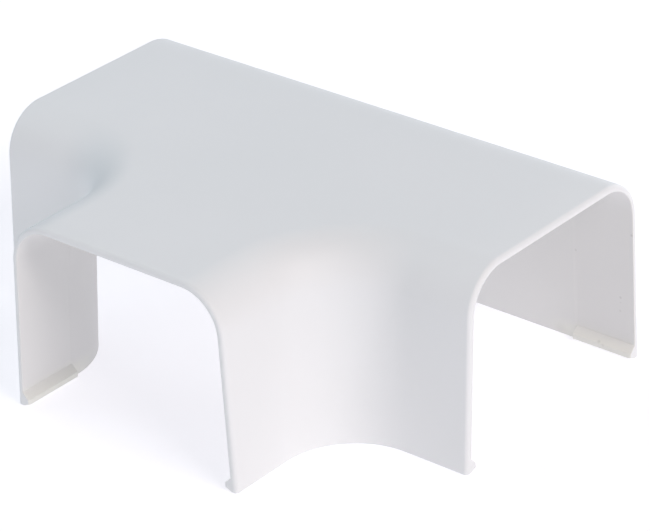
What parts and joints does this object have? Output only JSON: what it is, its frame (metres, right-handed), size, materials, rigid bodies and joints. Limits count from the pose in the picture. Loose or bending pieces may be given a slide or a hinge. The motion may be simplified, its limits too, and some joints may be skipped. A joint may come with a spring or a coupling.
{
  "type": "trunking tee fitting",
  "caption": "One-piece moulded tee cover that joins three lengths of surface trunking, with a flat roof, rounded corners, swept throats and snap lips at the foot of its sockets.",
  "frame": {"origin": "middle of the footprint, on the wall that the fitting lies against", "axes": "+X along the straight run, -Y out of the branch, +Z away from the wall"},
  "size_m": [0.175, 0.1295, 0.0623],
  "materials": {
    "white_pvc": "white rigid PVC, moulded, satin gloss"
  },
  "bodies": {
    "root": {"tee_cover": "white_pvc"}
  },
  "joints": []
}
